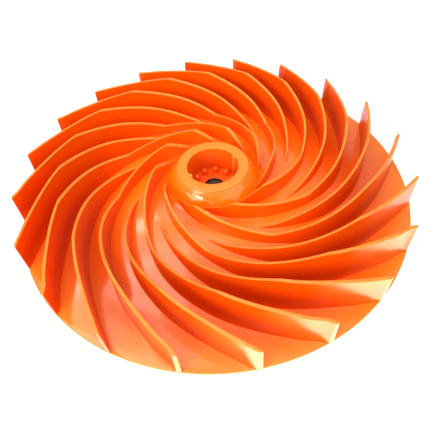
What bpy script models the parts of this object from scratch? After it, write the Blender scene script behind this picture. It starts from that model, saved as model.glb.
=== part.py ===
"""Centrifugal impeller of a hover mower: an open disc with ten long and ten short
curved vanes around a bell-shaped hub. Metres, +Z up, and the origin is on the axis
in the plane that the rim rests on."""

import math

import bmesh
import bpy
import numpy as np

# overall sizes
discRadius = 0.135
wall = 0.0018
gap = 0.0003
plateSegments = 96
hubSegments = 64
slopeStep = 0.00005

# hub, as radii from the axis and heights above the rest plane
collarOuter = 0.0246
collarInner = 0.0176
collarTop = 0.0235
collarSkirt = 0.0192
collarLip = 0.0020
wellWall = 0.0018
wellFloorTop = 0.0045
wellFloorWall = 0.0026
bellTop = 0.0218
bellLip = 0.0025
edgeBreak = 0.0003

# upper face of the plate: radius over disc radius, and height in millimetres. A steep
# bell beside the collar, then a shallow cone that ends in a flat rim. The bell is a
# solid of its own out to bellShare of the disc radius.
plateProfile = ((0.190, 21.35), (0.200, 20.25), (0.210, 18.85), (0.220, 17.2),
                (0.230, 15.5), (0.240, 14.2), (0.250, 13.3), (0.265, 12.55),
                (0.285, 12.05), (0.32, 11.55), (0.36, 11.0), (0.40, 10.25),
                (0.44, 9.45), (0.48, 8.6), (0.52, 7.72), (0.56, 6.82), (0.60, 5.9),
                (0.64, 4.95), (0.68, 4.0), (0.72, 3.08), (0.76, 2.3), (0.80, 1.9),
                (0.83, 1.8))
bellShare = 0.32

# keys on the well's wall
keyAngles = (26.3, 206.3)
keyWidth = 0.0024
keyDepth = 0.0013
keyDrop = 0.0002

# pegs and bush
pegCount = 10
pegCircle = 0.0133
pegRadius = 0.0019
pegHeight = 0.0040
pegPhase = 9.6
pegSides = 12
pegRounding = 0.4
pegProfile = 0.6
bushOuter = 0.0064
bushBore = 0.0041
bushTop = 0.0045
bushRim = 0.0005
bushSeat = 0.0026
bushFoot = 0.0003
bushCollar = 0.0014

# vanes
vanePairs = 10
tipAngle = 79.6
tipRadius = 0.1348
topThickness = 0.0020
footThickness = 0.0030
innerShare = 0.70
longSteps = 30
shortSteps = 24
leastStep = 0.0008
endHeight = 0.0008
footMargin = 1.15
smoothAngle = 35.0

# one vane, from the tip inward: radius over disc radius, and turn in degrees
vanePath = ((1.0, 0.0), (0.88, 11.3), (0.761, 26.7), (0.627, 46.8), (0.493, 66.7),
            (0.39, 86.6), (0.291, 116.6), (0.226, 150.0))
# top edge: radius over disc radius, and height above the rim in millimetres
longTop = ((1.0, 22.3), (0.761, 29.4), (0.493, 14.0), (0.291, 23.5), (0.240, 14.6),
           (0.232, 14.2))
shortTop = ((1.0, 22.3), (0.761, 29.4), (0.493, 14.0), (0.42, 9.7), (0.398, 9.3))


def clearScene():
    for obj in list(bpy.data.objects):
        bpy.data.objects.remove(obj, do_unlink=True)


def material(name, colour, roughness, metallic=0.0):
    made = bpy.data.materials.new(name)
    made.use_nodes = True
    shader = made.node_tree.nodes["Principled BSDF"]
    shader.inputs["Base Color"].default_value = (*colour, 1.0)
    shader.inputs["Roughness"].default_value = roughness
    shader.inputs["Metallic"].default_value = metallic
    made.diffuse_color = (*colour, 1.0)
    return made


def addObject(name, mesh, finish, parent):
    mesh.materials.append(finish)
    obj = bpy.data.objects.new(name, mesh)
    bpy.context.scene.collection.objects.link(obj)
    obj.parent = parent
    return obj


def turned(name, outline, segments, finish, parent):
    """A solid of revolution: outline is a closed ring of (radius, height), seen in the
    XZ plane and running down its outer side."""
    mesh = bpy.data.meshes.new(name)
    shape = bmesh.new()
    ring = [shape.verts.new((radius, 0.0, height)) for radius, height in outline]
    for here, there in zip(ring, ring[1:] + ring[:1]):
        shape.edges.new((here, there))
    shape.to_mesh(mesh)
    shape.free()
    obj = addObject(name, mesh, finish, parent)
    screw = obj.modifiers.new("Turn", "SCREW")
    screw.axis = "Z"
    screw.angle = 2 * math.pi
    screw.steps = segments
    screw.render_steps = segments
    screw.use_merge_vertices = True
    screw.merge_threshold = 0.00001
    screw.use_smooth_shade = True
    return obj


def plateHeight(radius):
    """Height of the plate's upper face, by straight lines through plateProfile."""
    profile = np.array(plateProfile)
    radii = np.concatenate(([collarOuter + gap], profile[:, 0] * discRadius))
    heights = np.concatenate(([bellTop], profile[:, 1] / 1000))
    return float(np.interp(radius, radii, heights))


def plateSlope(radius):
    rise = plateHeight(radius + slopeStep) - plateHeight(radius - slopeStep)
    return rise / (2 * slopeStep)


def wallFaces(inner, outer):
    """Upper and lower face of the plate's wall between two radii, both ends included."""
    radii = [inner] + [share * discRadius for share, height in plateProfile
                       if inner < share * discRadius < outer] + [outer]
    upper = [(radius, plateHeight(radius)) for radius in radii]
    lower = [(outer, plateHeight(outer) - wall * math.hypot(1.0, plateSlope(outer)))]
    for radius, height in upper[-2:0:-1]:
        slope = plateSlope(radius)
        length = math.hypot(1.0, slope)
        point = (radius + wall * slope / length, height - wall / length)
        if inner + edgeBreak < point[0] < outer - edgeBreak:
            lower.append(point)
    return upper, lower


def buildBell(finish, parent):
    """The steep skirt that joins the cone to the collar."""
    start = collarOuter + gap
    upper, lower = wallFaces(start, bellShare * discRadius)
    outline = upper + lower + [(start, bellTop - bellLip)]
    return turned("bell_skirt", outline, hubSegments, finish, parent)


def buildPlate(finish, parent):
    """The cone and its flat rim, hollow below and with the same wall throughout."""
    start = bellShare * discRadius + gap
    flatFrom = plateProfile[-1][0] * discRadius
    upper, lower = wallFaces(start, flatFrom)
    under = plateHeight(start) - wall * math.hypot(1.0, plateSlope(start))
    outline = upper + [
        (discRadius - edgeBreak, wall),
        (discRadius, wall - edgeBreak),
        (discRadius, edgeBreak),
        (discRadius - edgeBreak, 0.0),
        (flatFrom, 0.0),
    ] + lower[1:] + [(start, under)]
    return turned("back_plate", outline, plateSegments, finish, parent)


def buildCollar(finish, parent):
    """The flat ring on top, a short outer wall and the well's deep inner wall."""
    outline = [
        (collarOuter - edgeBreak, collarTop),
        (collarOuter, collarTop - edgeBreak),
        (collarOuter, collarSkirt),
        (collarOuter - wellWall, collarSkirt),
        (collarOuter - wellWall, collarTop - collarLip),
        (collarInner + wellWall, collarTop - collarLip),
        (collarInner + wellWall, wellFloorTop - wellFloorWall),
        (collarInner, wellFloorTop - wellFloorWall),
        (collarInner, collarTop - edgeBreak),
        (collarInner + edgeBreak, collarTop),
    ]
    collar = turned("hub_collar", outline, hubSegments, finish, parent)
    for angle in keyAngles:
        keyHeight = collarTop - keyDrop - wellFloorTop - 2 * gap
        radius = collarInner + keyDepth / 2
        key = boxCutter("key", (3 * keyDepth, keyWidth, keyHeight), parent)
        key.location = (
            radius * math.cos(math.radians(angle)),
            radius * math.sin(math.radians(angle)),
            wellFloorTop + 2 * gap + keyHeight / 2,
        )
        key.rotation_euler.z = math.radians(angle)
        joinSolid(collar, key)
    return collar


def boxCutter(name, size, parent):
    mesh = bpy.data.meshes.new(name)
    shape = bmesh.new()
    bmesh.ops.create_cube(shape, size=1.0)
    bmesh.ops.scale(shape, vec=size, verts=shape.verts)
    shape.to_mesh(mesh)
    shape.free()
    return hiddenHelper(name, mesh, parent)


def pegHelper(parent):
    """All pegs of the ring as one helper: round pins with a domed top."""
    mesh = bpy.data.meshes.new("pegs")
    shape = bmesh.new()
    sink = wellFloorWall / 2
    for index in range(pegCount):
        turn = math.radians(pegPhase + index * 360 / pegCount)
        made = bmesh.ops.create_cone(
            shape, segments=pegSides, radius1=pegRadius, radius2=pegRadius,
            depth=pegHeight + sink, cap_ends=True,
        )
        centre = (pegCircle * math.cos(turn), pegCircle * math.sin(turn),
                  wellFloorTop + (pegHeight - sink) / 2)
        bmesh.ops.translate(shape, verts=made["verts"], vec=centre)
        top = [v for v in made["verts"] if v.co.z > wellFloorTop + pegHeight / 2]
        rim = [e for e in shape.edges if e.verts[0] in top and e.verts[1] in top]
        bmesh.ops.bevel(shape, geom=rim, offset=pegRadius * pegRounding, segments=2,
                        affect="EDGES", profile=pegProfile)
    shape.to_mesh(mesh)
    shape.free()
    return hiddenHelper("pegs", mesh, parent)


def hiddenHelper(name, mesh, parent):
    helper = bpy.data.objects.new(name, mesh)
    bpy.context.scene.collection.objects.link(helper)
    helper.parent = parent
    helper.hide_render = True
    helper.display_type = "WIRE"
    return helper


def joinSolid(target, helper):
    union = target.modifiers.new("Join " + helper.name, "BOOLEAN")
    union.operation = "UNION"
    union.solver = "EXACT"
    union.object = helper


def buildWellFloor(finish, parent):
    """The disc that closes the well, with the peg ring and the hole for the bush."""
    rim = collarInner - gap
    hole = bushOuter + gap
    bottom = wellFloorTop - wellFloorWall
    outline = [
        (rim, wellFloorTop), (rim, bottom), (hole, bottom), (hole, wellFloorTop),
    ]
    floor = turned("well_floor", outline, hubSegments, finish, parent)
    joinSolid(floor, pegHelper(parent))
    return floor


def buildBush(finish, parent):
    """The dark insert around the shaft hole: a raised rim around a sunk face on top,
    and a collar below the well's floor."""
    bottom = wellFloorTop - wellFloorWall - gap
    outer = bushOuter + bushCollar
    outline = [
        (bushOuter - bushRim, bushTop), (bushOuter, bushTop),
        (bushOuter, bottom), (outer, bottom), (outer, bushFoot + edgeBreak),
        (outer - edgeBreak, bushFoot), (bushBore, bushFoot), (bushBore, bushSeat),
        (bushOuter - bushRim, bushSeat),
    ]
    return turned("shaft_bush", outline, hubSegments, finish, parent)


def vaneTurn(radius):
    """Angle that the vane has swept at this radius: a smooth curve through vanePath,
    over the logarithm of the radius, as an even spiral would be a straight line there."""
    path = np.array(vanePath)
    place = -np.log(path[:, 0])
    swept = path[:, 1]
    slopes = np.gradient(swept, place)
    here = -math.log(radius / discRadius)
    index = int(np.clip(np.searchsorted(place, here) - 1, 0, len(place) - 2))
    span = place[index + 1] - place[index]
    t = (here - place[index]) / span
    return (
        (2 * t ** 3 - 3 * t ** 2 + 1) * swept[index]
        + (t ** 3 - 2 * t ** 2 + t) * span * slopes[index]
        + (3 * t ** 2 - 2 * t ** 3) * swept[index + 1]
        + (t ** 3 - t ** 2) * span * slopes[index + 1]
    )


def vaneTop(radius, edge):
    heights = np.array(edge)[::-1]
    return wall + np.interp(radius / discRadius, heights[:, 0], heights[:, 1]) / 1000


def vanePoint(radius):
    turn = math.radians(vaneTurn(radius))
    return np.array((radius * math.cos(-turn), radius * math.sin(-turn)))


def footClearance(radius):
    return gap * math.hypot(1.0, plateSlope(radius)) * footMargin


def vaneMesh(name, edge, steps):
    """A standing sheet along the spiral, thinner at its top edge and towards the hub.
    The first cross-section is slid along the vane to lie on the rim's cylinder."""
    inner = edge[-1][0] * discRadius
    kinks = [share * discRadius for share, height in edge[1:-1] + plateProfile
             if inner < share * discRadius < tipRadius]
    radii = sorted(set(np.linspace(tipRadius, inner, steps)) | set(kinks), reverse=True)
    kept = [radii[0]]
    for radius in radii[1:]:
        if kept[-1] - radius > leastStep or radius in kinks:
            kept.append(radius)
    shape = bmesh.new()
    sections = []
    for radius in kept:
        middle = vanePoint(radius)
        along = vanePoint(radius - slopeStep) - vanePoint(radius + slopeStep)
        along /= np.linalg.norm(along)
        across = np.array((-along[1], along[0]))
        thinning = 1 - (1 - innerShare) * (tipRadius - radius) / (tipRadius - inner)
        section = []
        for thickness, isTop in ((footThickness, False), (topThickness, True)):
            for side in (-1, 1):
                flat = middle + across * side * thinning * thickness / 2
                if radius == kept[0]:
                    flat = flat * tipRadius / np.linalg.norm(flat)
                reach = np.linalg.norm(flat)
                foot = plateHeight(reach) + footClearance(reach)
                height = max(vaneTop(radius, edge), plateHeight(reach) + endHeight)
                section.append(shape.verts.new((*flat, height if isTop else foot)))
        sections.append((section[0], section[1], section[3], section[2]))
    for here, there in zip(sections, sections[1:]):
        for corner in range(4):
            other = (corner + 1) % 4
            shape.faces.new((here[corner], here[other], there[other], there[corner]))
    shape.faces.new(sections[0][::-1])
    shape.faces.new(sections[-1])
    bmesh.ops.recalc_face_normals(shape, faces=shape.faces)
    mesh = bpy.data.meshes.new(name)
    shape.to_mesh(mesh)
    shape.free()
    return mesh


def buildVanes(finish, parent):
    kinds = (("long_vane", longTop, longSteps, 0), ("short_vane", shortTop, shortSteps, 1))
    for kind, edge, steps, offset in kinds:
        shared = vaneMesh(kind, edge, steps)
        shared.materials.append(finish)
        shared.shade_smooth()
        shared.set_sharp_from_angle(angle=math.radians(smoothAngle))
        for index in range(vanePairs):
            vane = bpy.data.objects.new(f"{kind}_{index + 1:02d}", shared)
            bpy.context.scene.collection.objects.link(vane)
            vane.parent = parent
            place = tipAngle + (2 * index + offset) * 180 / vanePairs
            vane.rotation_euler.z = math.radians(place)


def main():
    clearScene()
    orange = material("moulded orange plastic", (0.90, 0.13, 0.005), 0.28)
    dark = material("dark bush", (0.035, 0.028, 0.024), 0.45)
    axis = bpy.data.objects.new("impeller_axis", None)
    bpy.context.scene.collection.objects.link(axis)
    buildPlate(orange, axis)
    buildBell(orange, axis)
    buildCollar(orange, axis)
    buildWellFloor(orange, axis)
    buildBush(dark, axis)
    buildVanes(orange, axis)


main()
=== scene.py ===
import math

import bmesh
import bpy
import numpy as np
from mathutils import Matrix, Vector


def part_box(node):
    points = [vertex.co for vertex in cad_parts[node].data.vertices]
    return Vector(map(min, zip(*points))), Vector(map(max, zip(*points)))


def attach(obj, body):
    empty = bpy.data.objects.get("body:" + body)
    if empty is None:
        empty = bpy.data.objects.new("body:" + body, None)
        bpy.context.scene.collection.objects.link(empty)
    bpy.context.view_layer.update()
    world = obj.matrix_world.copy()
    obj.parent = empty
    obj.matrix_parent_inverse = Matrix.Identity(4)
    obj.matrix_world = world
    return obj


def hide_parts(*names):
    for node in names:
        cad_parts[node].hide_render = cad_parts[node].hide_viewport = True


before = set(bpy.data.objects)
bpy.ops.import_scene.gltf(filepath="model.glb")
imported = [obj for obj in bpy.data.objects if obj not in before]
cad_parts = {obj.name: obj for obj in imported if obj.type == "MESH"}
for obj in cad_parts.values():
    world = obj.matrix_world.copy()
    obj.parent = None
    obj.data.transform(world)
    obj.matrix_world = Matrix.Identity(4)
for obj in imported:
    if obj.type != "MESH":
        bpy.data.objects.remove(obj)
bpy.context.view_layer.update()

# main sizes, read from the solids where they have them (metres)
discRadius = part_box("back_plate")[1].x
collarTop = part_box("hub_collar")[1].z
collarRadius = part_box("hub_collar")[1].x
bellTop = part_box("bell_skirt")[1].z
print("frame loaded, disc radius", round(discRadius * 1000, 1), "mm")


# node trees

class Wire:
    # a number in a node tree: sums on it add Math nodes
    def __init__(self, graph, socket):
        self.graph = graph
        self.socket = socket

    def math(self, operation, *others):
        values = (self, *others)
        return self.graph.wire("ShaderNodeMath", {"operation": operation}, dict(enumerate(values)))

    def __add__(self, other):
        return self.math("ADD", other)

    __radd__ = __add__

    def __sub__(self, other):
        return self.math("SUBTRACT", other)

    def __rsub__(self, other):
        return self.graph.wire("ShaderNodeMath", {"operation": "SUBTRACT"}, {0: other, 1: self})

    def __mul__(self, other):
        return self.math("MULTIPLY", other)

    __rmul__ = __mul__

    def __truediv__(self, other):
        return self.math("DIVIDE", other)

    def __rtruediv__(self, other):
        return self.graph.wire("ShaderNodeMath", {"operation": "DIVIDE"}, {0: other, 1: self})

    def __pow__(self, other):
        return self.math("POWER", other)

    def clamp(self, low=0.0, high=1.0):
        return self.math("MAXIMUM", low).math("MINIMUM", high)


class Graph:
    # a node tree, with one way to put a node in it
    def __init__(self, tree):
        self.tree = tree

    def node(self, kind, settings=None, sockets=None):
        made = self.tree.nodes.new(kind)
        for name, value in (settings or {}).items():
            if name == "stops":
                self.setStops(made.color_ramp, value)
            elif name == "points":
                self.setPoints(made.mapping, *value)
            else:
                setattr(made, name, value)
        for key, value in (sockets or {}).items():
            self.feed(made.inputs[key], value)
        return made

    def wire(self, kind, settings=None, sockets=None, out=0):
        return Wire(self, self.node(kind, settings, sockets).outputs[out])

    def feed(self, socket, value):
        if isinstance(value, Wire):
            self.tree.links.new(value.socket, socket)
        elif value is not None:
            socket.default_value = value

    def setStops(self, ramp, stops):
        for at, colour in stops[:-2]:
            ramp.elements.new(at)
        for element, (at, colour) in zip(ramp.elements, stops):
            element.position = at
            element.color = colour if len(colour) == 4 else (*colour, 1.0)

    def setPoints(self, mapping, points, handle):
        curve = mapping.curves[0]
        for at, value in points[2:]:
            curve.points.new(at, value)
        for point, (at, value) in zip(curve.points, points):
            point.location = (at, value)
            point.handle_type = handle
        mapping.extend = "HORIZONTAL"
        mapping.update()


def components(graph, vector):
    axes = graph.node("ShaderNodeSeparateXYZ", None, {0: vector})
    return [Wire(graph, socket) for socket in axes.outputs]


def combined(graph, x=None, y=None, z=None):
    return graph.wire("ShaderNodeCombineXYZ", None, {0: x, 1: y, 2: z})


def length(x, y):
    return (x * x + y * y) ** 0.5


def noise(graph, at, scale, detail, roughness):
    return graph.wire("ShaderNodeTexNoise", None, {
        "Vector": at, "Scale": scale, "Detail": detail, "Roughness": roughness})


def blend(graph, share, low, high):
    return graph.wire("ShaderNodeMix", {"data_type": "RGBA"}, {0: share, 6: low, 7: high}, out=2)


def geometryTree(name, inputs):
    # a Geometry Nodes tree with named inputs, and the wires that bring them in
    tree = bpy.data.node_groups.new(name, "GeometryNodeTree")
    tree.interface.new_socket("Geometry", in_out="INPUT", socket_type="NodeSocketGeometry")
    tree.interface.new_socket("Geometry", in_out="OUTPUT", socket_type="NodeSocketGeometry")
    for label, kind in inputs.items():
        tree.interface.new_socket(label, in_out="INPUT", socket_type="NodeSocket" + kind)
    graph = Graph(tree)
    entry = graph.node("NodeGroupInput")
    wires = {socket.name: Wire(graph, socket) for socket in entry.outputs if socket.name}
    return graph, wires


def spinAngle(graph, given):
    # the turn of each copy in a ring
    index = graph.wire("GeometryNodeInputIndex")
    return index * 2 * math.pi / given["Count"] + given["First Angle"]


def copyToPoints(graph, given, geometry, seats, rotation=None):
    # the last nodes of a tree: one copy on each point, made real and given its finish
    copies = graph.wire("GeometryNodeInstanceOnPoints", None,
                        {"Points": seats, "Instance": geometry, "Rotation": rotation})
    real = graph.wire("GeometryNodeRealizeInstances", None, {0: copies})
    painted = graph.wire("GeometryNodeSetMaterial", None,
                         {"Geometry": real, "Material": given["Finish"]})
    graph.node("NodeGroupOutput", None, {0: painted})
    return graph.tree


def place(name, data):
    obj = bpy.data.objects.new(name, data)
    bpy.context.scene.collection.objects.link(obj)
    return obj


def runTree(obj, tree, values, name):
    # runs a tree on an object and keeps the result as a plain mesh
    modifier = obj.modifiers.new(tree.name, "NODES")
    modifier.node_group = tree
    for item in tree.interface.items_tree:
        if item.item_type == "SOCKET" and item.in_out == "INPUT" and item.name in values:
            modifier[item.identifier] = values[item.name]
    bpy.context.view_layer.update()
    evaluated = obj.evaluated_get(bpy.context.evaluated_depsgraph_get())
    mesh = bpy.data.meshes.new_from_object(evaluated)
    mesh.name = name
    bpy.data.objects.remove(obj)
    return place(name, mesh)


# shapes that several pieces share

plate = {
    "start": collarRadius + 0.0003,    # where the bell meets the collar
    "wall": 0.0018,                    # also the height of the flat rim
    # upper face: radius over disc radius, and millimetres above the rest plane
    "profile": ((0.190, 21.35), (0.200, 20.25), (0.210, 18.85), (0.220, 17.2), (0.230, 15.5),
                (0.240, 14.2), (0.250, 13.3), (0.265, 12.55), (0.285, 12.05), (0.32, 11.55),
                (0.36, 11.0), (0.40, 10.25), (0.44, 9.45), (0.48, 8.6), (0.52, 7.72),
                (0.56, 6.85), (0.60, 5.95), (0.64, 5.0), (0.68, 4.0), (0.72, 3.0),
                (0.76, 2.2), (0.80, 1.85), (0.83, 1.8), (0.88, 1.8)),
}


def smoothThrough(places, values, here):
    # a smooth curve through the given values, level beyond both ends
    slopes = np.gradient(values, places)
    here = float(np.clip(here, places[0], places[-1]))
    index = int(np.clip(np.searchsorted(places, here) - 1, 0, len(places) - 2))
    span = places[index + 1] - places[index]
    t = (here - places[index]) / span
    return float(
        (2 * t ** 3 - 3 * t ** 2 + 1) * values[index]
        + (t ** 3 - 2 * t ** 2 + t) * span * slopes[index]
        + (3 * t ** 2 - 2 * t ** 3) * values[index + 1]
        + (t ** 3 - t ** 2) * span * slopes[index + 1]
    )


def plateHeight(radius):
    shares, heights = np.array(plate["profile"]).T
    shares = np.concatenate(([plate["start"] / discRadius], shares))
    heights = np.concatenate(([bellTop], heights / 1000))
    return smoothThrough(shares, heights, radius / discRadius)


def roundedPath(corners, steps=4):
    # a closed outline with a fillet at each corner; a corner is (x, z, fillet radius)
    points = []
    count = len(corners)
    for index, (x, z, radius) in enumerate(corners):
        here = Vector((x, z))
        if radius <= 0:
            points.append(tuple(here))
            continue
        back = Vector(corners[index - 1][:2]) - here
        ahead = Vector(corners[(index + 1) % count][:2]) - here
        back.normalize()
        ahead.normalize()
        half = back.angle(ahead) / 2
        reach = radius / math.tan(half)
        middle = here + (back + ahead).normalized() * radius / math.sin(half)
        first = here + back * reach - middle
        last = here + ahead * reach - middle
        sweep = first.angle_signed(last)
        for step in range(steps + 1):
            turn = Matrix.Rotation(-sweep * step / steps, 2)
            points.append(tuple(middle + turn @ first))
    return points


def atTurn(radius, turn, height):
    return radius * math.cos(turn), radius * math.sin(turn), height


def turnedMesh(name, outline, segments):
    # a solid of revolution about Z from a closed outline of (radius, height)
    shape = bmesh.new()
    rings = [[shape.verts.new(atTurn(x, 2 * math.pi * index / segments, z)) for x, z in outline]
             for index in range(segments)]
    for index, ring in enumerate(rings):
        other = rings[(index + 1) % segments]
        for step in range(len(outline)):
            after = (step + 1) % len(outline)
            shape.faces.new((ring[step], other[step], other[after], ring[after]))
    bmesh.ops.recalc_face_normals(shape, faces=shape.faces)
    return finishMesh(name, shape)


def finishMesh(name, shape, sharp=42.0):
    mesh = bpy.data.meshes.new(name)
    shape.to_mesh(mesh)
    shape.free()
    mesh.shade_smooth()
    mesh.set_sharp_from_angle(angle=math.radians(sharp))
    return mesh


def rubAndLightWhere(obj, amount):
    # stores how far each vertex is rubbed and painted with the pale highlight, from its place
    rub = obj.data.attributes.new("rub", "FLOAT", "POINT")
    rub.data.foreach_set("value", [float(amount(vertex.co)) for vertex in obj.data.vertices])


# finishes

plastic = {
    # colour of the disc: share of the radius, colour; paler near the hub and at the rim as painted
    # light, darker at mid radius as painted shade
    "disc": ((0.20, (0.88, 0.210, 0.002)), (0.28, (0.88, 0.160, 0.002)),
             (0.35, (0.90, 0.200, 0.004)), (0.48, (0.90, 0.195, 0.005)),
             (0.58, (0.88, 0.162, 0.003)), (0.70, (0.84, 0.128, 0.002)),
             (0.82, (0.82, 0.158, 0.004)), (1.00, (0.84, 0.240, 0.014))),
    # colour of the vanes' outer parts: share of the ramp height, colour; darkest low on the vanes
    # as painted shade, lighter at the foot and towards the top as painted light
    "outer": ((0.07, (0.84, 0.102, 0.0005)), (0.20, (0.67, 0.074, 0.0003)),
              (0.36, (0.62, 0.058, 0.0002)), (0.60, (0.81, 0.092, 0.0002)),
              (0.80, (0.90, 0.122, 0.0003)), (0.97, (0.90, 0.132, 0.0005))),
    # of their inner parts: paler and more amber than the outer parts, and more so towards the top,
    # as painted light
    "inner": ((0.07, (0.88, 0.105, 0.0008)), (0.20, (0.86, 0.100, 0.0005)),
              (0.35, (0.88, 0.118, 0.0003)), (0.50, (0.90, 0.132, 0.0003)),
              (0.67, (0.90, 0.145, 0.0003)), (0.80, (0.90, 0.185, 0.0005))),
    # and of the well's wall and floor: darker towards the bottom, as painted shade
    "well": ((0.10, (0.74, 0.095, 0.0010)), (0.45, (0.84, 0.120, 0.0010)),
             (0.72, (0.92, 0.210, 0.0020))),
    "rampHeight": 0.030,
    "wellShare": 0.131,                    # radius where the well's painted shade and duller finish end, as a share
    "wellSharp": 400,
    "innerShare": 0.48,                    # radius where the vanes' outer colours, with their painted shade, start
    "innerFade": 0.24,
    "edge": (0.92, 0.345, 0.068, 1),       # painted highlight on the vanes' rubbed free edges
    "ring": (0.92, 0.35, 0.060, 1),        # painted highlight on the collar's rubbed top and wall, the keys' tops and the rim
    "cloud": (14.0, 3.0, 0.5),             # four noises: scale, detail and roughness
    "flow": (55.0, 5.0, 0.6),
    "wear": (240.0, 6.0, 0.7),
    "fine": (1400.0, 2.0, 0.5),
    "patchy": 0.16,                        # how much the colour strays, and in what shares
    "cloudShare": 1.6,
    "flowShare": 0.6,
    "discRubAndLight": 0.8,                        # how much of the rubbed colour, a painted highlight, shows
    "vaneRubAndLight": 0.9,
    "rubAndLightBase": 0.75,
    "rubAndLightPatchy": 1.2,
    "roughness": 0.17,
    "roughRange": (0.06, 0.9),
    "grain": 0.10,                         # how much the gloss varies with the flow
    "wearGrain": 0.06,                     # and with the wear
    "rubDull": 0.30,                       # how much rougher the rubbed parts are
    "wellDull": 0.20,                      # the same for the well's wall
    "vaneDull": 0.05,                      # for the vanes
    "floorDull": 0.10,                     # and for the well's floor
    "ior": 1.50,
    "vaneSpecular": 0.36,
    "discCoat": 0.80,
    "coatIor": 1.55,
    "coatRoughness": 0.09,
    "glow": 0.06,                          # light carried inside the plastic
    "glowColour": (1.0, 0.25, 0.06),
    "glowDepth": 0.004,
    "pinRadius": 0.0043,                   # round marks left by the mould's pins
    "pinLine": 0.00022,
    "pinCircle": 0.1125,
    "pinPhase": 88.6,
    "pinCount": 20,
    "pinDark": 0.5,
    "pinDeep": 1.2,
    "flowRelief": 0.35,
    "fineRelief": 0.05,
    "rubRelief": 0.5,
    "bump": 0.35,
    "wavy": 0.00020,                       # depth of the disc's unevenness
    "smooth": 0.00012,                     # and of the other pieces'
}


def newMaterial(name):
    made = bpy.data.materials.new(name)
    made.use_nodes = True
    graph = Graph(made.node_tree)
    return made, graph, made.node_tree.nodes["Principled BSDF"]


def pinMarks(x, y):
    # a faint ring in every channel, from the polar place
    turn = y.math("ARCTAN2", x) - math.radians(plastic["pinPhase"])
    sector = 2 * math.pi / plastic["pinCount"]
    local = (turn / sector + 0.5).math("FLOORED_MODULO", 1.0) - 0.5
    along = local * sector * plastic["pinCircle"]
    across = length(x, y) - plastic["pinCircle"]
    off = length(along, across) - plastic["pinRadius"]
    return (1 - (off / plastic["pinLine"]).math("ABSOLUTE")).clamp()


def outsideWell(radius):
    return ((radius - plastic["wellShare"]) * plastic["wellSharp"]).clamp()


def litAndShadedColour(graph, radius, z, kind):
    # the plastic's colour before wear and the painted edge highlight; its changes with radius and
    # height are painted light and shade
    def ramp(name, at):
        return graph.wire("ShaderNodeValToRGB", {"stops": plastic[name]}, {0: at})

    height = z / plastic["rampHeight"]
    if kind == "well":
        return ramp("well", height)
    if kind == "disc":
        return blend(graph, outsideWell(radius), ramp("well", height), ramp("disc", radius))
    share = ((radius - plastic["innerShare"]) / plastic["innerFade"]).clamp()
    return blend(graph, share, ramp("inner", height), ramp("outer", height))


def orangePlastic(name, kind, rubbedAndLit=0.0, dull=0.0):
    made, graph, shader = newMaterial(name)
    at = graph.wire("ShaderNodeTexCoord", out="Object")
    x, y, z = components(graph, at)
    radius = length(x, y) / discRadius
    cloud, flow, wear, fine = [noise(graph, at, *plastic[size])
                               for size in ("cloud", "flow", "wear", "fine")]
    # the rubbed parts: matt as wear, and pale as a painted highlight
    edge = graph.wire("ShaderNodeAttribute", {"attribute_name": "rub"}, out="Fac")
    rub = (edge * (plastic["rubAndLightBase"] + (wear - 0.5) * plastic["rubAndLightPatchy"]) * rubbedAndLit).clamp()

    # green and blue stray with the clouds, red stays
    stray = (cloud - 0.5) * plastic["cloudShare"] + (flow - 0.5) * plastic["flowShare"]
    shade = 1 + stray * plastic["patchy"]
    colour = graph.wire("ShaderNodeVectorMath", {"operation": "MULTIPLY"}, {
        0: litAndShadedColour(graph, radius, z, kind), 1: combined(graph, 1.0, shade, shade)})
    gloss = (plastic["roughness"] + dull + (flow - 0.5) * plastic["grain"]
             + (wear - 0.5) * plastic["wearGrain"] + rub * plastic["rubDull"])
    relief = (flow * plastic["flowRelief"] + fine * plastic["fineRelief"]
              + wear * rub * plastic["rubRelief"])
    if kind == "disc":
        pins = pinMarks(x, y)
        colour = graph.wire("ShaderNodeVectorMath", {"operation": "SCALE"},
                            {0: colour, "Scale": 1 - pins * (cloud * plastic["pinDark"])})
        relief = relief - pins * plastic["pinDeep"]
        outside = outsideWell(radius)
        gloss = gloss + (1 - outside) * plastic["wellDull"]
        graph.feed(shader.inputs["Coat Weight"], outside * plastic["discCoat"])
    # the pale ring or edge colour on the rubbed parts is a painted highlight
    colour = blend(graph, rub, colour, plastic["ring" if kind == "disc" else "edge"])
    graph.feed(shader.inputs["Base Color"], colour)
    graph.feed(shader.inputs["Roughness"], gloss.clamp(*plastic["roughRange"]))
    depth = plastic["wavy" if kind == "disc" else "smooth"]
    bump = graph.wire("ShaderNodeBump", None,
                      {"Strength": plastic["bump"], "Distance": depth, "Height": relief})
    graph.feed(shader.inputs["Normal"], bump)
    fixed = {
        "Coat IOR": "coatIor", "Coat Roughness": "coatRoughness", "IOR": "ior",
        "Subsurface Weight": "glow", "Subsurface Radius": "glowColour",
        "Subsurface Scale": "glowDepth",
    }
    if kind == "vane":
        fixed["Specular IOR Level"] = "vaneSpecular"
    for socket, value in fixed.items():
        shader.inputs[socket].default_value = plastic[value]
    return made


bushFinish = {
    "dark": (0.018, 0.012, 0.009, 1),
    "pale": (0.085, 0.062, 0.050, 1),
    "grain": (900.0, 6.0, 0.7),            # noises: scale, detail and roughness
    "smear": (160.0, 4.0, 0.5),
    "smearFrom": 0.4,                      # above this the smears turn pale
    "smearSharp": 2.0,
    "roughness": 0.36,
    "patchy": 0.5,                         # how much the gloss varies
    "roughRange": (0.15, 0.8),
    "bump": 0.5,
    "depth": 0.0001,
}


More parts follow.
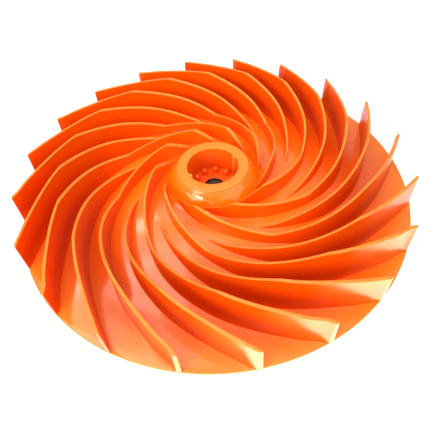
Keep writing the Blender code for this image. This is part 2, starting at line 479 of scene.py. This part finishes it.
def darkBush(name):
    made, graph, shader = newMaterial(name)
    at = graph.wire("ShaderNodeTexCoord", out="Object")
    grain = noise(graph, at, *bushFinish["grain"])
    smear = noise(graph, at, *bushFinish["smear"])
    stain = ((smear - bushFinish["smearFrom"]) * bushFinish["smearSharp"]
             + (grain - 0.5)).clamp()
    graph.feed(shader.inputs["Base Color"],
               blend(graph, stain, bushFinish["dark"], bushFinish["pale"]))
    gloss = bushFinish["roughness"] + (grain - 0.5) * bushFinish["patchy"]
    graph.feed(shader.inputs["Roughness"], gloss.clamp(*bushFinish["roughRange"]))
    bump = graph.wire("ShaderNodeBump", None, {
        "Strength": bushFinish["bump"], "Distance": bushFinish["depth"], "Height": grain})
    graph.feed(shader.inputs["Normal"], bump)
    return made


# the disc with its bell and collar

disc = {
    "segments": 288,
    "plateSteps": 110,
    "crowding": 1.4,               # over 1 sets the steps closer together on the bell
    "rimRound": 0.0005,
    "rimStart": 0.004,             # width of the flat strip that ends in the rounded rim
    "collarRound": 0.0006,
    "collarStep": 0.0011,          # plain wall between the collar's top and the bell
    "cone": 0.0012,                # width of the straight slope beside the collar
    "wellRadius": 0.0176,
    "wellWall": 0.0019,
    "wellStep": 0.004,             # height of the first stretch of the well's wall
    "wellBottom": 0.0016,
    "pocketTop": 0.0019,           # thickness of the collar's roof
    "pocketStep": 0.0022,
    "pocketGap": 0.0004,
    "rubAndLightReach": 0.0006,            # how far the rubbed ring and rim, with their painted highlight, reach
    # how much rubbing and painted highlight the rim's outer edge gets
    "rimRubAndLight": 0.25,
}


def buildDisc():
    # one outline all round: collar top, bell, disc, rim, underside and well wall
    tiny = 1e-5
    wall, bore = plate["wall"], disc["wellRadius"]
    start, flatFrom = plate["start"], plate["profile"][-1][0] * discRadius
    inner = collarRadius - disc["wellWall"]
    outer = bore + disc["wellWall"]
    pocket = collarTop - disc["pocketTop"]
    radii = [start + (flatFrom - start) * (step / disc["plateSteps"]) ** disc["crowding"]
             for step in range(1, disc["plateSteps"] + 1)]
    upper = [(radius, plateHeight(radius)) for radius in radii]
    lower = []
    for radius, height in upper[:-1]:
        slope = (plateHeight(radius + tiny) - plateHeight(radius - tiny)) / (2 * tiny)
        reach = math.hypot(1, slope)
        lower.append((radius + wall * slope / reach, height - wall / reach))
    upper = [point for point in upper if point[0] > collarRadius + disc["cone"]]
    lower = [point for point in lower if point[0] > inner + disc["pocketGap"]]
    top = roundedPath([
        (bore, collarTop - disc["wellStep"], 0),
        (bore, collarTop, disc["collarRound"]),
        (collarRadius, collarTop, disc["collarRound"]),
        (collarRadius, collarTop - disc["collarStep"], 0),
    ])
    rim = roundedPath([
        (discRadius - disc["rimStart"], wall, 0),
        (discRadius, wall, disc["rimRound"]),
        (discRadius, 0, disc["rimRound"]),
        (discRadius - disc["rimStart"], 0, 0),
    ])
    pocketPath = [(inner, pocket - disc["pocketStep"]), (inner, pocket), (outer, pocket),
                  (outer, disc["wellBottom"]), (bore, disc["wellBottom"])]
    outline = top + upper + rim + [(flatFrom, 0.0)] + lower[::-1] + pocketPath
    obj = place("moulded_disc", turnedMesh("moulded_disc", outline, disc["segments"]))

    # the collar's top and wall are rubbed in full: matt, with a painted highlight in the colour;
    # the rim's edge in part
    def amount(point):
        radius = math.hypot(point.x, point.y)
        onTop = point.z > collarTop - disc["rubAndLightReach"] and radius < collarRadius + tiny
        if onTop or abs(radius - collarRadius) < tiny:
            return 1
        return disc["rimRubAndLight"] if radius > discRadius - disc["rubAndLightReach"] else 0

    rubAndLightWhere(obj, amount)
    return obj


# the vanes

vanes = {
    "pairs": 10,
    "firstAngle": 79.6,             # degrees, of the first long vane's tip
    "tipRadius": 0.1348,
    "topThickness": 0.0020,
    "footThickness": 0.0030,
    "innerShare": 0.70,             # thickness at the inner end, as a share of the tip's
    "sideShares": (0.3, 0.6, 0.85),  # heights of the section's points, foot to top
    "topRound": 0.00045,
    "rubAndLightWidth": 0.0003,             # how far the rubbed edge, with its painted highlight, reaches down the sides
    "wornAndLitFrom": 0.236,              # share of the disc's radius where the wear and painted highlight start
    "wornAndLitTip": 0.6,                 # how far the end faces are rubbed and painted lighter
    "topSteps": 3,
    "footFillet": 0.0003,
    "footSteps": 4,
    "sink": 0.0004,                 # how far the foot goes into the disc
    "dive": 0.0009,                 # how far the inner end runs under the surface
    "tipInset": 0.00035,
    "wornAndLitFade": 0.03,               # share of the length over which the wear and painted highlight set in
    "ease": 0.003,                  # lower than this, the top edge's rounding shrinks
    "leastEase": 0.25,
    "sharp": 40,                    # degrees
    "longSteps": 120,
    "shortSteps": 96,
    # sweep from the tip inward: radius over disc radius, and degrees turned
    "path": ((1.0, 0.0), (0.88, 11.3), (0.761, 26.7), (0.627, 46.8), (0.493, 66.7),
             (0.39, 86.6), (0.291, 116.6), (0.226, 150.0)),
    # top edge: radius over disc radius, and millimetres above the disc
    "longTop": ((1.0, 22.3), (0.761, 29.4), (0.493, 14.0), (0.291, 23.5), (0.232, 13.0),
                (0.224, 12.6)),
    "shortTop": ((1.0, 22.3), (0.761, 29.4), (0.493, 14.0), (0.42, 9.6), (0.398, 8.5),
                 (0.384, 7.6)),
}


def sweptAngle(radius):
    # a smooth curve through the path's stations, over the logarithm of the radius
    shares, degrees = np.array(vanes["path"]).T
    return smoothThrough(-np.log(shares), degrees, -math.log(radius / discRadius))


def vaneSection():
    # half of the cross-section, foot to top: offset from the middle, share of the
    # height, extra height in metres, and how far it is rubbed and painted with the pale highlight
    foot, top = vanes["footThickness"] / 2, vanes["topThickness"] / 2
    fillet, edge = vanes["footFillet"], vanes["topRound"]
    footSteps, topSteps = vanes["footSteps"], vanes["topSteps"]
    points = [(foot + fillet, 0.0, -vanes["sink"], 0.0)]
    for step in range(footSteps + 1):
        turn = math.pi / 2 * step / footSteps
        points.append((foot + fillet * (1 - math.sin(turn)), 0.0,
                       fillet * (1 - math.cos(turn)), 0.0))
    for share in vanes["sideShares"]:
        points.append((foot + (top - foot) * share, share,
                       fillet * (1 - share) - edge * share, 0.0))
    points.append((top, 1.0, -edge - vanes["rubAndLightWidth"], 0.0))
    for step in range(topSteps + 1):
        turn = math.pi / 2 * step / topSteps
        points.append((top - edge + edge * math.cos(turn), 1.0,
                       edge * (math.sin(turn) - 1), 1.0))
    return points


def vaneBlank(name, inner, stations):
    # a straight strip that the node tree bends into a vane: x runs from the tip
    # inward as a share, y is the offset from the middle, z is the share of the height
    half = vaneSection()
    section = half + [(-y, share, rise, rub) for y, share, rise, rub in half[::-1]]
    reach = vanes["tipRadius"] - inner
    edge = vanes["tipInset"] / reach
    fade = (vanes["tipRadius"] - vanes["wornAndLitFrom"] * discRadius) / reach
    shares = [0.0, edge] + sorted(
        {round(step / stations, 5) for step in range(1, stations + 1)}
        | {round((vanes["tipRadius"] - kink * discRadius) / reach, 5)
           for kink, height in vanes["longTop"][1:4] if kink * discRadius > inner}
    )
    shape = bmesh.new()
    rise = shape.verts.layers.float.new("rise")
    rub = shape.verts.layers.float.new("rub")
    rings = []
    for index, share in enumerate(shares):
        ring = []
        for y, lift, up, wornAndLit in section:
            inset = vanes["tipInset"] if index == 0 else 0.0
            vert = shape.verts.new((share, math.copysign(max(abs(y) - inset, 0), y), lift))
            vert[rise] = up - (inset if lift == 1.0 else 0.0)
            # the top edge and the tip's end face are rubbed: matt, with a painted highlight in the
            # colour, fading out towards the hub
            kept = min(max((fade - share) / vanes["wornAndLitFade"], 0), 1)
            vert[rub] = vanes["wornAndLitTip"] if index == 0 and lift > 0 else wornAndLit * kept
            ring.append(vert)
        rings.append(ring)
    size = len(section)
    for here, there in zip(rings, rings[1:]):
        for step in range(size):
            after = (step + 1) % size
            shape.faces.new((here[step], there[step], there[after], here[after]))
    for ring, order in ((rings[0], 1), (rings[-1], -1)):
        for step in range(size // 2 - 1):
            quad = (ring[step], ring[step + 1], ring[size - 2 - step], ring[size - 1 - step])
            shape.faces.new(quad[::order])
    mesh = bpy.data.meshes.new(name)
    shape.to_mesh(mesh)
    shape.free()
    return place(name, mesh)


def vaneTree(name, edge, inner):
    # bends the strip along the spiral, then repeats it round the axis
    graph, given = geometryTree(name, {
        "Disc Radius": "Float", "Tip Radius": "Float", "Inner Radius": "Float",
        "Height": "Float", "Inner Share": "Float", "Dive": "Float", "Count": "Int",
        "First Angle": "Float", "Finish": "Material",
    })
    share, offset, lift = components(graph, graph.wire("GeometryNodeInputPosition"))
    rise = graph.wire("GeometryNodeInputNamedAttribute", {"data_type": "FLOAT"}, {"Name": "rise"})
    radius = given["Tip Radius"] + (given["Inner Radius"] - given["Tip Radius"]) * share

    # the sweep as a curve over the logarithm of the radius, with room at both ends
    room, base, most, stations = 0.05, 0.1, 160.0, 26
    last = -math.log(inner / discRadius) + 2 * room
    steps = [last * step / stations for step in range(stations + 1)]
    sweepPoints = [(step / last, sweptAngle(discRadius * math.exp(room - step)) / most + base)
                   for step in steps]

    def curve(points, handle, at):
        return graph.wire("ShaderNodeFloatCurve", {"points": (points, handle)}, {"Value": at})

    def sweep(at):
        along = ((given["Disc Radius"] / at).math("LOGARITHM", math.e) + room) / last
        return (curve(sweepPoints, "AUTO", along) - base) * math.radians(most)

    near = 0.02
    steep = (sweep(radius * (1 - near)) - sweep(radius * (1 + near))) / (2 * near)
    stretch = (steep * steep + 1) ** 0.5
    thin = 1 - share * (1 - given["Inner Share"])
    angle = offset * thin * stretch / radius - sweep(radius)

    tallest, samples = 0.040, 90
    floor = [(at, plateHeight(at * discRadius) / tallest)
             for at in np.linspace(plate["start"] / discRadius, 1, samples)]
    heights = [(at, height / 1000 / tallest) for at, height in edge[::-1]]
    foot = curve(floor, "VECTOR", radius / given["Disc Radius"]) * tallest
    top = curve(heights, "VECTOR", radius / given["Disc Radius"]) * tallest * given["Height"]
    height = (top + plate["wall"] - foot).math("MAXIMUM", given["Dive"] * -1)
    ease = (height / vanes["ease"]).clamp().math("MAXIMUM", vanes["leastEase"])
    sunk = height.math("MINIMUM", 0.0) * (1 - lift)
    z = foot + height * lift + sunk + rise * ease
    bent = graph.wire("GeometryNodeSetPosition", None, {
        "Geometry": given["Geometry"],
        "Position": combined(graph, radius * angle.math("COSINE"),
                             radius * angle.math("SINE"), z),
    })
    turned = graph.wire("GeometryNodeFlipFaces", None, {0: bent})
    seats = graph.wire("GeometryNodePoints", None, {"Count": given["Count"]})
    return copyToPoints(graph, given, turned, seats, combined(graph, z=spinAngle(graph, given)))


def buildVanes(name, edge, stations, firstAngle, finish):
    inner = edge[-1][0] * discRadius
    blank = vaneBlank(name + "_strip", inner, stations)
    tree = vaneTree(name + " ring", edge, inner)
    made = runTree(blank, tree, {
        "Disc Radius": discRadius, "Tip Radius": vanes["tipRadius"], "Inner Radius": inner,
        "Height": 1.0, "Inner Share": vanes["innerShare"], "Dive": vanes["dive"],
        "Count": vanes["pairs"], "First Angle": math.radians(firstAngle), "Finish": finish,
    }, name)
    made.data.shade_smooth()
    made.data.set_sharp_from_angle(angle=math.radians(vanes["sharp"]))
    return made


# the well: floor, pegs, keys and bush

well = {
    "floorTop": 0.0045,
    "floorWall": 0.0026,
    "floorSink": 0.0003,            # how far its edge reaches into the wall
    "floorRound": 0.0004,
    "floorSegments": 144,
    "pegCount": 10,
    "pegCircle": 0.0133,
    "pegRadius": 0.0022,
    "pegHeight": 0.0046,
    "pegPhase": 9.6,
    "pegSides": 20,
    "pegFoot": 0.0003,              # size of the fillet at its foot
    "pegSink": 0.0002,
    "pegTaper": 0.0001,
    "pegDome": 0.7,                 # height of the domed top, as a share of the radius
    "pegFlat": 0.2,                 # radius of the flat in its middle, the same way
    "pegSteps": 6,
    "pegSharp": 60,                 # degrees
    "bushRadius": 0.0067,
    "bushBore": 0.0041,
    "bushTop": 0.0045,
    "bushRim": 0.0005,              # width of the bush's raised rim
    "bushSeat": 0.0026,             # height of the sunk face inside the rim
    "bushFoot": 0.0003,
    "bushCollar": 0.0014,           # width of its collar under the floor
    "bushGap": 0.0001,              # clear of the floor, all round
    "bushDrop": 0.0003,             # and below it
    "bushRound": 0.0002,
    "bushCollarRound": 0.0003,
    "boreRound": 0.0004,
    "bushSegments": 96,
    "keyAngles": (26.3, 206.3),
    "keyWidth": 0.0027,
    "keyDepth": 0.0014,
    "keyRoot": 0.0014,              # how far they reach into the wall
    "keyDrop": 0.00005,
    "keySink": 0.0005,              # how far they reach into the floor
    "keyRound": 0.0003,
    "keyRubAndLight": 0.0005,               # how far down they are rubbed and painted with the ring's highlight
}


def ringTree():
    # copies of one small piece round the axis
    graph, given = geometryTree("peg ring", {
        "Radius": "Float", "Count": "Int", "First Angle": "Float", "Height": "Float",
        "Finish": "Material",
    })
    spin = spinAngle(graph, given)
    seats = graph.wire("GeometryNodeSetPosition", None, {
        "Geometry": graph.wire("GeometryNodePoints", None, {"Count": given["Count"]}),
        "Position": combined(graph, given["Radius"] * spin.math("COSINE"),
                             given["Radius"] * spin.math("SINE"), given["Height"]),
    })
    return copyToPoints(graph, given, given["Geometry"], seats)


def pegMesh():
    # a low domed pin with a small fillet at its foot
    radius, height = well["pegRadius"], well["pegHeight"]
    dome, steps, sides = radius * well["pegDome"], well["pegSteps"], well["pegSides"]
    foot, taper = well["pegFoot"], well["pegTaper"]
    outline = [(radius + foot, -well["pegSink"]), (radius + foot, 0.0),
               (radius + taper, taper), (radius, foot)]
    for step in range(steps):
        turn = math.pi / 2 * step / steps
        outline.append((radius - taper - dome * (1 - math.cos(turn)),
                        height - dome * (1 - math.sin(turn))))
    outline.append((radius * well["pegFlat"], height))
    shape = bmesh.new()
    rings = [[shape.verts.new(atTurn(x, 2 * math.pi * side / sides, z)) for side in range(sides)]
             for x, z in outline]
    for here, there in zip(rings, rings[1:]):
        for side in range(sides):
            after = (side + 1) % sides
            shape.faces.new((here[side], here[after], there[after], there[side]))
    shape.faces.new(rings[-1])
    shape.faces.new(rings[0][::-1])
    return finishMesh("peg", shape, well["pegSharp"])


def buildWell(orange, dark):
    top, bottom = well["floorTop"], well["floorTop"] - well["floorWall"]
    hole = well["bushRadius"] + well["bushGap"]
    rim = disc["wellRadius"] + well["floorSink"]
    outline = roundedPath([
        (rim, top, 0), (rim, bottom, 0), (hole, bottom, 0), (hole, top, well["floorRound"]),
    ])
    floor = place("well_disc", turnedMesh("well_disc", outline, well["floorSegments"]))
    floor.data.materials.append(orange)

    pegs = runTree(place("peg_blank", pegMesh()), ringTree(), {
        "Radius": well["pegCircle"], "Count": well["pegCount"],
        "First Angle": math.radians(well["pegPhase"]), "Height": top, "Finish": orange,
    }, "well_pegs")

    outer, bore = well["bushRadius"], well["bushBore"]
    seat, foot, under = well["bushSeat"], well["bushFoot"], bottom - well["bushDrop"]
    ledge, wide = outer - well["bushRim"], outer + well["bushCollar"]
    outline = roundedPath([
        (bore, seat, well["boreRound"]),
        (ledge, seat, well["bushRound"]),
        (ledge, well["bushTop"], well["bushRound"]),
        (outer, well["bushTop"], well["bushRound"]),
        (outer, under, 0),
        (wide, under, well["bushCollarRound"]),
        (wide, foot, well["bushCollarRound"]),
        (bore, foot, well["boreRound"]),
    ])
    bush = place("centre_bush", turnedMesh("centre_bush", outline, well["bushSegments"]))
    bush.data.materials.append(dark)
    return floor, pegs, bush


def buildKeys(finish):
    # two upright keys on the well's wall, their tops just under the collar's
    depth, root = well["keyDepth"], well["keyRoot"]
    low, high = well["floorTop"] - well["keySink"], collarTop - well["keyDrop"]
    centre = Vector((disc["wellRadius"] - (depth - root) / 2, 0, (high + low) / 2))
    shape = bmesh.new()
    for angle in well["keyAngles"]:
        made = bmesh.ops.create_cube(shape, size=1.0)
        bmesh.ops.scale(shape, vec=(depth + root, well["keyWidth"], high - low),
                        verts=made["verts"])
        bmesh.ops.translate(shape, vec=centre, verts=made["verts"])
        bmesh.ops.rotate(shape, matrix=Matrix.Rotation(math.radians(angle), 3, "Z"),
                         verts=made["verts"])
    bmesh.ops.bevel(shape, geom=shape.edges[:], offset=well["keyRound"], segments=3,
                    affect="EDGES", profile=0.5)
    keys = place("well_keys", finishMesh("well_keys", shape))
    # their tops take the ring's rubbing: matt, with its painted highlight
    rubAndLightWhere(keys, lambda point: point.z > collarTop - well["keyRubAndLight"])
    keys.data.materials.append(finish)
    return keys


# studio

studio = {
    "distance": 2.3012,                     # of the camera, in disc radii
    "elevation": 46.20,
    "yaw": 0.17,
    "pitch": 4.14,
    "roll": 4.35,
    "focal": 428.2,                         # in pixels of an image that is this wide
    "image": 436,
    "sensor": 36.0,                         # millimetres
    "nearest": 0.01,
    "groundRadius": 6.0,
    "groundTop": -0.0002,
    "mottle": (6.0, 2.0, 0.5),              # a noise: scale, detail and roughness
    "groundDull": (0.60, 0.60, 0.60, 1),
    "groundPale": (0.64, 0.64, 0.64, 1),
    "groundRoughness": 0.75,
    "groundLift": (0.53, 0.53, 0.59, 1),    # light added so that the floor stays white
    "groundFront": (7.0, 5.9, 3.8, 1),      # the same in front, close to the rim
    "frontTowards": (0.34, -0.94),
    "frontNarrow": 4,                       # power of the fall to both sides
    "frontReach": 1.24,                     # how far it goes, in disc radii
    "frontFade": 0.06,
    "warmth": (1.0, 0.74, 0.56),            # colour of the softboxes
    "room": (1.0, 0.80, 0.62, 1),
    "roomStrength": 0.30,
    "lightDistance": 1.6,
    # softboxes: azimuth and elevation, width and height in degrees, brightness
    "lights": {
        "window": (219, 41, 24, 9, 7.5),
        "window core": (226, 36, 19, 4.5, 20.0),
        "ceiling": (0, 90, 45, 45, 0.85),
        "back ceiling": (103, 68, 15, 12, 1.3),
        "back left": (141, 57, 15, 16, 2.3),
        "back middle": (113, 55.5, 9, 9, 1.8),
        "back strip": (128, 53, 7, 4, 8.0),
        "back right": (69, 47, 15, 40, 0.55),
        "front": (275, 70, 40, 24, 4.8),
        "front right": (320, 35, 56, 28, 1.4),
        "left": (185, 71, 40, 20, 2.7),
        "right": (35, 50, 40, 24, 0.4),
        "back low": (90, 12, 60, 12, 0.6),
        "front left": (225, 26, 60, 14, 5.2),
    },
}


def softbox(name, azimuth, elevation, wide, tall, brightness):
    # a rectangular light that faces the object, as large as the angles it spans there
    distance = studio["lightDistance"]
    light = bpy.data.lights.new(name, "AREA")
    light.shape = "RECTANGLE"
    light.size = 2 * distance * math.tan(math.radians(wide / 2))
    light.size_y = 2 * distance * math.tan(math.radians(tall / 2))
    light.energy = brightness * math.pi * light.size * light.size_y
    light.color = studio["warmth"]
    lamp = place(name, light)
    azimuth, elevation = math.radians(azimuth), math.radians(elevation)
    toward = Vector((math.cos(azimuth) * math.cos(elevation),
                     math.sin(azimuth) * math.cos(elevation), math.sin(elevation)))
    lamp.location = toward * distance
    lamp.rotation_euler = toward.to_track_quat("Z", "Y").to_euler()
    lamp.visible_camera = False


def buildGround():
    ground, graph, shader = newMaterial("pale ground")
    at = graph.wire("ShaderNodeTexCoord", out="Object")
    mottle = noise(graph, at, *studio["mottle"])
    graph.feed(shader.inputs["Base Color"],
               blend(graph, mottle, studio["groundDull"], studio["groundPale"]))
    shader.inputs["Roughness"].default_value = studio["groundRoughness"]
    x, y = components(graph, at)[:2]
    east, north = studio["frontTowards"]
    forward = ((x * east + y * north) / discRadius).clamp() ** studio["frontNarrow"]
    near = ((studio["frontReach"] - length(x, y) / discRadius) / studio["frontFade"]).clamp()
    graph.feed(shader.inputs["Emission Color"],
               blend(graph, forward * near, studio["groundLift"], studio["groundFront"]))
    shader.inputs["Emission Strength"].default_value = 1.0
    shape = bmesh.new()
    bmesh.ops.create_circle(shape, cap_ends=True, radius=studio["groundRadius"], segments=64)
    floor = place("floor", finishMesh("floor", shape))
    floor.location.z = studio["groundTop"]
    floor.data.materials.append(ground)


def buildCamera():
    # it looks down at the disc's middle, and is then turned a little about its own axes
    camera = bpy.data.cameras.new("camera")
    camera.sensor_width = studio["sensor"]
    camera.lens = studio["focal"] / studio["image"] * studio["sensor"]
    camera.clip_start = studio["nearest"]
    eye = place("camera", camera)
    raised = math.radians(studio["elevation"])
    towards = Vector((0, -math.cos(raised), math.sin(raised)))
    right = Vector((1, 0, 0))
    turn = Matrix((right, towards.cross(right), towards))
    for name, axis in (("yaw", "Y"), ("pitch", "X"), ("roll", "Z")):
        turn = Matrix.Rotation(math.radians(studio[name]), 3, axis) @ turn
    centre = Vector((0, 0, plate["wall"]))
    eye.matrix_world = (Matrix.Translation(centre + towards * studio["distance"] * discRadius)
                        @ turn.transposed().to_4x4())
    bpy.context.scene.camera = eye


def buildStudio():
    scene = bpy.context.scene
    scene.view_settings.view_transform = "Standard"
    buildGround()
    scene.world = bpy.data.worlds.new("soft studio")
    scene.world.use_nodes = True
    back = scene.world.node_tree.nodes["Background"]
    back.inputs[0].default_value = studio["room"]
    back.inputs[1].default_value = studio["roomStrength"]
    for name, values in studio["lights"].items():
        softbox(name, *values)
    buildCamera()


def main():
    orangeDisc = orangePlastic("orange plastic, disc", "disc", rubbedAndLit=plastic["discRubAndLight"])
    orangeVane = orangePlastic("orange plastic, vanes", "vane", rubbedAndLit=plastic["vaneRubAndLight"],
                               dull=plastic["vaneDull"])
    orangeWell = orangePlastic("orange plastic, well", "well", dull=plastic["floorDull"])
    dark = darkBush("dark bush")

    body = buildDisc()
    body.data.materials.append(orangeDisc)
    print("disc, bell and collar made")

    half = 180 / vanes["pairs"]
    longOnes = buildVanes("long_vanes", vanes["longTop"], vanes["longSteps"],
                          vanes["firstAngle"], orangeVane)
    shortOnes = buildVanes("short_vanes", vanes["shortTop"], vanes["shortSteps"],
                           vanes["firstAngle"] + half, orangeVane)
    print("vanes made")

    floor, pegs, bush = buildWell(orangeWell, dark)
    keys = buildKeys(orangeDisc)
    print("well made")

    for piece in (body, longOnes, shortOnes, floor, pegs, bush, keys):
        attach(piece, "root")
    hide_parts("back_plate", "bell_skirt", "hub_collar")
    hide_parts(*[f"long_vane_{number:02d}" for number in range(1, 11)])
    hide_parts(*[f"short_vane_{number:02d}" for number in range(1, 11)])
    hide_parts("well_floor")
    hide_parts("shaft_bush")

    buildStudio()
    print("studio made")


main()
